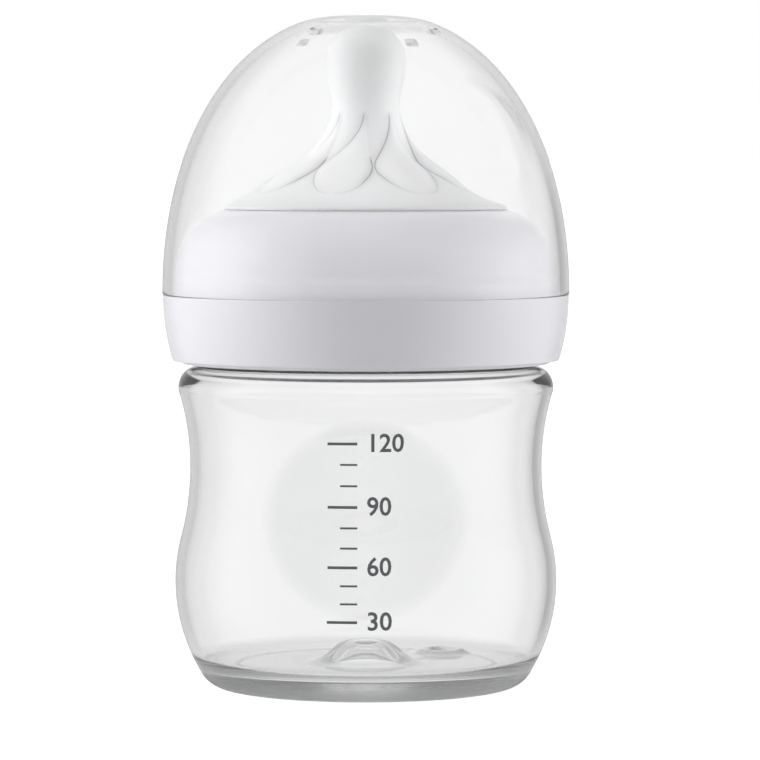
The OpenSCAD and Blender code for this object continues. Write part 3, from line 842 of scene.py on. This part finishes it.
# %% [markdown]
# ### The vents of the cap
# Four short slots near the crown let the nipple dry and keep a cap that is put in the mouth from
# sealing. They go right through, so they are cut with a Boolean and not drawn on. Their walls
# come from small pins in the mould that are not polished: they are matt and look pale.

# %% Cut the vents
vent_n, vent_long, vent_wide, vent_r, vent_turn, vent_deep = 4, 2.8, 1.2, crown_r + 2.6, 54, 4
cutter_mesh = bpy.data.meshes.new("vent_cutters")
cutters = bmesh.new()
for k in range(vent_n):
    turn = radians(vent_turn + 360 / vent_n * k)
    loop = []
    for side in (1, -1):
        for a in np.linspace(-90, 90, 9):
            a = radians(a)
            u = side * ((vent_long - vent_wide) / 2 + vent_wide / 2 * cos(a))
            v = side * vent_wide / 2 * sin(a)
            loop.append((u * cos(turn) + (vent_r - v) * sin(turn),
                         u * sin(turn) - (vent_r - v) * cos(turn)))
    low = [cutters.verts.new((x * MM, y * MM, (crown_z - vent_deep) * MM)) for x, y in loop]
    for item in bmesh.ops.extrude_face_region(cutters, geom=[cutters.faces.new(low)])["geom"]:
        if isinstance(item, bmesh.types.BMVert):
            item.co.z = (crown_z + vent_deep) * MM
bmesh.ops.recalc_face_normals(cutters, faces=cutters.faces)
cutters.to_mesh(cutter_mesh)
cutter = placed("vent_cutters", cutter_mesh)
cut = cap.modifiers.new("vents", "BOOLEAN")
cut.operation, cut.solver, cut.object = "DIFFERENCE", "EXACT", cutter
opened = settled(cap)
cap.modifiers.clear()
cap.data = opened
opened.name = "dome_cap_clear"
one_finish(opened)
vent_matt, shader = finish("vent_matt", 200.0, 2500.0, 0.4, 0.6, 0.004)
dial(shader, Base_Color=(0.86, 0.87, 0.87, 1))
opened.materials.append(vent_matt)
walls = [int(abs(face.normal.z) < 0.2 and face.center.z > (crown_z - vent_deep) * MM)
         for face in opened.polygons]
opened.polygons.foreach_set("material_index", walls)
opened.set_sharp_from_angle(angle=radians(50))
bpy.data.objects.remove(cutter)
print("vents:", vent_n, "cap faces", len(opened.polygons), "of them walls", sum(walls))

# %% [markdown]
# ## The printed scale
# The recess carries a plain scale in dark grey ink: a line for every 10 ml from 30 and a number
# for every 30. The heights are not guessed: the inner outline is integrated, less the hump in the
# floor, and each mark sits where that much milk comes to. A texture could hold the print, but
# thin ink shapes bent onto the wall stay sharp. Each is cut fine before it is bent, so that no
# long edge dips under the surface.

# %% Heights of the scale
levels = np.linspace(floor_z + 0.01, 50, 900)
profile = np.array(arc(floor_c, floor_z + floor_round, floor_round, -90, floor_a, 24)
                   + flank_of(wall, floor_a, 28))
profile = profile[np.argsort(profile[:, 1])]
radius_in = np.interp(levels, profile[:, 1], profile[:, 0])
hump = np.interp(levels, [floor_z, hump_z], [hump_r, hump_top_r]) * (levels < hump_z)
held = np.cumsum(pi * (radius_in ** 2 - hump ** 2)) * (levels[1] - levels[0]) / 1000
scale = {ml: float(np.interp(ml, held, levels)) for ml in range(30, 130, 10)}
print("scale heights:", {ml: round(z, 1) for ml, z in scale.items() if ml % 30 == 0})

# %% Print the scale
ink, shader = finish("scale_ink", 200.0, 2500.0, 0.35, 0.5, 0.004)
dial(shader, Base_Color=(0.115, 0.125, 0.13, 1))
outer_face = np.array(flank_of(0, foot_a, 60))
outer_face = outer_face[np.argsort(outer_face[:, 1])]
flat = bmesh.new()
for ml, z in scale.items():
    long = ml % 30 == 0
    left, right, thick = (-6.6, -1.4, 0.24) if long else (-4.4, -1.4, 0.17)
    for a, b in zip(np.linspace(left, right, 9)[:-1], np.linspace(left, right, 9)[1:]):
        corners = ((a, z - thick), (b, z - thick), (b, z + thick), (a, z + thick))
        flat.faces.new([flat.verts.new((u, v, 0)) for u, v in corners])
    if long:
        words = bpy.data.curves.new("number", "FONT")
        words.body, words.size, words.align_y, words.resolution_u = str(ml), 4.4, "CENTER", 3
        words.offset = 0.07
        letter = placed("number", words)
        shape = settled(letter)
        for vertex in shape.vertices:
            vertex.co = (vertex.co.x + 0.2, vertex.co.y + z, 0)
        flat.from_mesh(shape)
        bpy.data.objects.remove(letter)
bmesh.ops.remove_doubles(flat, verts=flat.verts, dist=1e-4)
bmesh.ops.triangulate(flat, faces=flat.faces)
for _ in range(3):
    long_edges = [e for e in flat.edges if e.calc_length() > 0.8]
    bmesh.ops.subdivide_edges(flat, edges=long_edges, cuts=1)
    bmesh.ops.triangulate(flat, faces=[f for f in flat.faces if len(f.verts) > 3])
for face in flat.faces:
    if face.normal.z < 0:
        face.normal_flip()
ink_thick, ink_gap = 0.05, 0.02
for item in bmesh.ops.extrude_face_region(flat, geom=flat.faces[:])["geom"]:
    if isinstance(item, bmesh.types.BMVert):
        item.co.z += ink_thick
bmesh.ops.recalc_face_normals(flat, faces=flat.faces)
for vertex in flat.verts:
    u, v, lift = vertex.co
    base = float(np.interp(v, outer_face[:, 1], outer_face[:, 0])) + ink_gap
    share = float(recess_share(u, -30.0, v))
    radius = base - recess_depth * share + lift
    vertex.co = (radius * sin(u / base) * MM, -radius * cos(u / base) * MM, v * MM)
printed = bpy.data.meshes.new("scale_print")
flat.to_mesh(printed)
printed.materials.append(ink)
scale_print = placed("scale_print", printed)
print("scale faces:", len(printed.polygons))

# %% [markdown]
# ## Attach the pieces
# Each piece stands for one CAD node and rides on the body of that node, so it follows the joints.

# %% Ride and replace
for piece, node, slot in ((bottle, "bottle", "bottle_clear"), (ring, "screw_ring", "ring_white"),
                          (nipple, "nipple", "nipple_silicone"), (cap, "dome_cap", "cap_clear")):
    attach(piece, node)
    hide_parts(node)
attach(scale_print, "bottle")

# %% [markdown]
# ## Floor and light
# The set is a white sweep. The floor is pale and holds the soft shadow, and a glow that only the
# camera meets lifts it to white. Mirror rays and rays through the plastic pass the floor: they
# see a world with its own levels round the object, overhead and underfoot. The light on the
# object is soft and comes more from the sides than from the front.

# %% What clear and glossy surfaces see
set_levels = ((5.5, 0.97), (7.5, 0.9), (15, 0.87), (28, 0.7), (42, 0.64), (55, 0.86), (64, 0.8),
              (76, 0.9), (84, 0.98), (96, 0.98), (104, 0.9), (116, 0.78), (135, 0.72), (150, 0.74),
              (165, 0.86), (173, 0.9), (175, 0.96))
side_lift, side_tilt, card_dark, mirror_dark = 0.01, -0.1, -0.24, -0.3


def studio(s, direction):
    """Brightness of the set round the object by compass angle, 0 straight behind it. The right
    is darker than the left, a grey card stands low on the right, and a mirror ray that looks
    behind the object finds it darker than a ray that has gone through the wall."""
    way = s.node("ShaderNodeSeparateXYZ")
    s.put(direction, way.inputs[0])
    x, y = way.outputs["X"], way.outputs["Y"]
    turn = s.div(s.do("ARCTAN2", s.do("ABSOLUTE", x), y), pi)
    ramp_node = s.node("ShaderNodeValToRGB")
    stops = ramp_node.color_ramp.elements
    stops[0].color, stops[1].color = (0.98, 0.98, 0.98, 1), (0.97, 0.97, 0.97, 1)
    for compass, level in set_levels:
        stops.new(compass / 180).color = (level, level, level, 1)
    s.put(turn, ramp_node.inputs["Fac"])
    side = s.mul(s.climb(turn, 0.28, 20), s.climb(0.85, turn, 10))
    lit = s.add(1.0, s.mul(side, s.add(side_lift, s.mul(s.do("SIGN", x), side_tilt))))
    card = s.mul(s.climb(turn, 0.09, 20), s.climb(0.3, turn, 20))
    low_down = s.climb(0.16, way.outputs["Z"], 10)
    card = s.mul(s.mul(card, low_down), s.mul(s.do("GREATER_THAN", x, 0.0), card_dark))
    path = s.node("ShaderNodeLightPath").outputs
    mirrored = s.mul(path["Is Glossy Ray"], s.sub(1.0, path["Is Transmission Ray"]))
    behind = s.mul(s.climb(0.24, turn, 20), s.mul(mirrored, mirror_dark))
    return s.mul(s.mul(ramp_node.outputs["Color"], lit), s.mul(s.add(1.0, card), s.add(1.0, behind)))


def ray_kinds(s):
    """1 for camera rays; for mirror and glass rays that no diffuse surface has sent on; and for
    glass rays that a diffuse surface has sent, which light what stands inside the clear walls."""
    path = s.node("ShaderNodeLightPath").outputs
    first = s.do("COMPARE", path["Diffuse Depth"], 0.0, 0.5)
    sharp = s.mul(s.do("MAXIMUM", path["Is Transmission Ray"], path["Is Glossy Ray"]), first)
    lost = s.mul(path["Is Transmission Ray"], s.sub(1.0, first))
    return path["Is Camera Ray"], sharp, lost


def choose(s, share, one, other):
    """The first value where share is 1 and the other where it is 0."""
    return s.add(s.mul(share, one), s.mul(s.sub(1.0, share), other))

# %% Floor
floor_mesh = bpy.data.meshes.new("floor")
floor_half, floor_z_m = 40, -0.0001
corners = [(x * floor_half, y * floor_half, floor_z_m)
           for x, y in ((-1, -1), (1, -1), (1, 1), (-1, 1))]
floor_mesh.from_pydata(corners, [], [(0, 1, 2, 3)])
floor = placed("floor", floor_mesh)
floor_mat = bpy.data.materials.new("floor_white")
floor_mat.use_nodes = True
nodes = floor_mat.node_tree.nodes
shader = nodes["Principled BSDF"]
dial(shader, Base_Color=(0.8, 0.8, 0.8, 1), Roughness=0.9, Specular_IOR_Level=0.0)
s = Sums(floor_mat.node_tree)
where = s.node("ShaderNodeTexCoord").outputs["Object"]
away = s.node("ShaderNodeVectorMath", operation="LENGTH")
s.put(where, away.inputs[0])
camera_ray, sharp, lost = ray_kinds(s)
far = s.climb(away.outputs["Value"], 0.25, 1.2)
glow, open_floor = nodes.new("ShaderNodeEmission"), nodes.new("ShaderNodeBsdfTransparent")
lifted = s.mul(s.do("MAXIMUM", camera_ray, lost), s.add(0.5, s.mul(far, 0.5)))
s.put(lifted, glow.inputs["Strength"])
both = nodes.new("ShaderNodeAddShader")
s.put(shader.outputs[0], both.inputs[0])
s.put(glow.outputs[0], both.inputs[1])
s.either(sharp, both.outputs[0], open_floor.outputs[0], nodes["Material Output"].inputs["Surface"])
floor_mesh.materials.append(floor_mat)

# %% World
world = bpy.data.worlds.new("studio")
bpy.context.scene.world = world
world.use_nodes = True
tree = world.node_tree
s = Sums(tree)
background = tree.nodes["Background"]
dial(background, Color=(1, 1, 1, 1))
direction = s.node("ShaderNodeTexCoord").outputs["Generated"]
facing = s.node("ShaderNodeSeparateXYZ")
s.put(direction, facing.inputs[0])
camera_ray, sharp, lost = ray_kinds(s)
overhead_level, underfoot_level, white = 0.9, 0.8, 1.0
rise = facing.outputs["Z"]
ambient = s.add(0.12, s.mul(s.unit(rise), 0.3))
overhead = s.climb(rise, 0.55, 4)
underfoot = s.climb(-0.2, rise, 5)
around = choose(s, underfoot, underfoot_level, studio(s, direction))
around = choose(s, overhead, overhead_level, around)
soft = s.sub(0.93, s.mul(s.unit(rise), 0.5))
other = choose(s, lost, soft, choose(s, sharp, around, ambient))
s.put(choose(s, camera_ray, white, other), background.inputs["Strength"])
print("world:", len(tree.nodes), "nodes")

# %% Lamps
softboxes = (("left_softbox", (-0.88, -0.05, 0.3), 0.7, 1.0, 9.0),
             ("right_softbox", (0.88, -0.02, 0.28), 0.5, 0.9, 6.6),
             ("top_softbox", (0.0, 0.1, 1.1), 0.8, 0.8, 2.4))
aim = Vector((0, 0, 0.06))
for name, spot, size_x, size_y, power in softboxes:
    lamp_data = bpy.data.lights.new(name, "AREA")
    lamp_data.shape = "RECTANGLE"
    lamp_data.size, lamp_data.size_y, lamp_data.energy = size_x, size_y, power
    lamp = placed(name, lamp_data)
    lamp.location = spot
    lamp.rotation_euler = (aim - Vector(spot)).to_track_quat("-Z", "Y").to_euler()
    lamp.visible_glossy = lamp.visible_transmission = False
print("lamps:", [name for name, *_ in softboxes])

# %% Picture settings
bpy.context.scene.view_settings.view_transform = "Standard"
